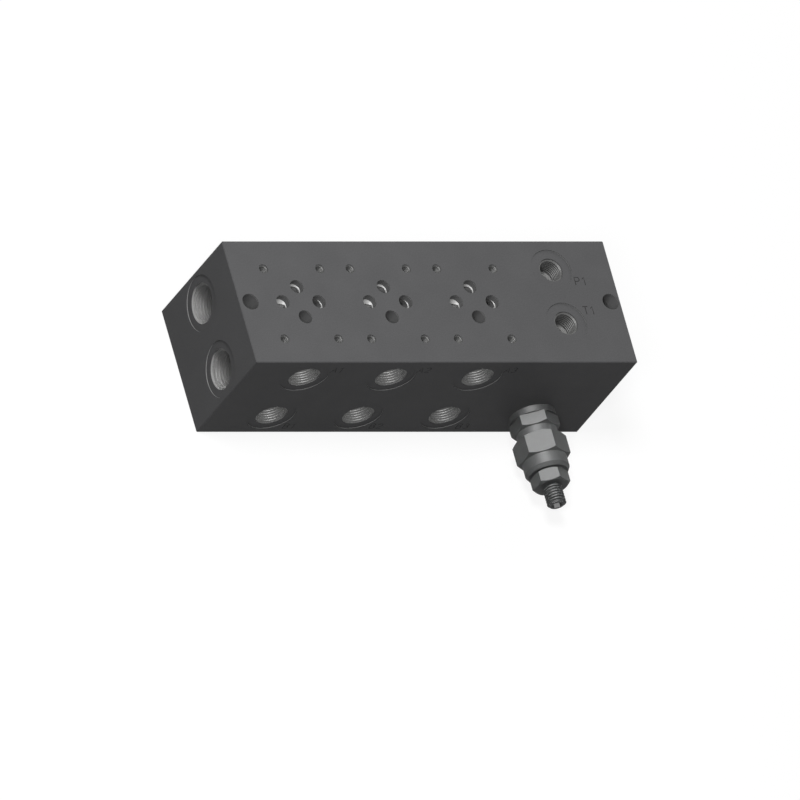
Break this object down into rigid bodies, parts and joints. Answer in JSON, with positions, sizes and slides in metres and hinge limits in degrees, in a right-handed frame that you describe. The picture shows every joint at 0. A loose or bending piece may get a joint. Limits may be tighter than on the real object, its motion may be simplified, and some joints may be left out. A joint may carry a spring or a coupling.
{
  "type": "hydraulic manifold block",
  "caption": "Rectangular steel hydraulic manifold block with valve stations, threaded ports and a screw-in relief cartridge with its adjusting screw.",
  "frame": {"origin": "centre of the bottom face", "axes": "+X along the block from the pressure and tank ports to the plain end, +Y from the actuator ports to the plain back, +Z out of the valve face"},
  "size_m": [0.22, 0.1214, 0.07],
  "materials": {
    "burnished_steel": "milled free-cutting steel, burnished and oiled, dark grey, matt",
    "phosphated_steel": "turned from hexagon bar, zinc phosphated, matt grey",
    "hardened_steel": "hardened and ground steel, bright",
    "spring_steel": "oil-tempered spring wire, ground ends",
    "nbr": "moulded nitrile rubber, 90 Shore A",
    "ptfe": "turned PTFE"
  },
  "bodies": {
    "block": {"manifold_block": "burnished_steel", "cartridge_body": "phosphated_steel", "cartridge_cage": "phosphated_steel", "valve_seat": "hardened_steel", "relief_spring": "spring_steel", "adjuster_cap": "phosphated_steel", "flange_o_ring": "nbr", "nose_o_ring": "nbr", "nose_backup_rings": "ptfe", "cap_o_ring": "nbr"},
    "poppet": {"relief_poppet": "hardened_steel", "poppet_spring_plate": "hardened_steel"},
    "plate": {"adjuster_spring_plate": "hardened_steel"},
    "screw": {"adjusting_screw": "phosphated_steel", "screw_o_ring": "nbr"},
    "nut": {"lock_nut": "phosphated_steel"}
  },
  "joints": [
    {"name": "poppet_lift", "type": "slide", "parent": "block", "child": "poppet", "axis": [0, -1, 0], "range_m": [0, 0.0012], "stiffness_N_per_m": 50000, "deforming": ["relief_spring"]},
    {"name": "adjuster_travel", "type": "slide", "parent": "block", "child": "plate", "axis": [0, -1, 0], "range_m": [-0.003, 0.00375], "deforming": ["relief_spring"]},
    {"name": "screw_turn", "type": "hinge", "parent": "plate", "child": "screw", "pos_m": [0.0756, -0.035, 0.016], "axis": [0, -1, 0], "range_deg": [-720, 900]},
    {"name": "lock_nut_turn", "type": "hinge", "parent": "block", "child": "nut", "pos_m": [0.0756, -0.035, 0.016], "axis": [0, -1, 0], "range_deg": [0, 180]}
  ],
  "couplings": [
    {"joint": "screw_turn", "follows": "adjuster_travel", "rad_per_m": 4188.8}
  ]
}
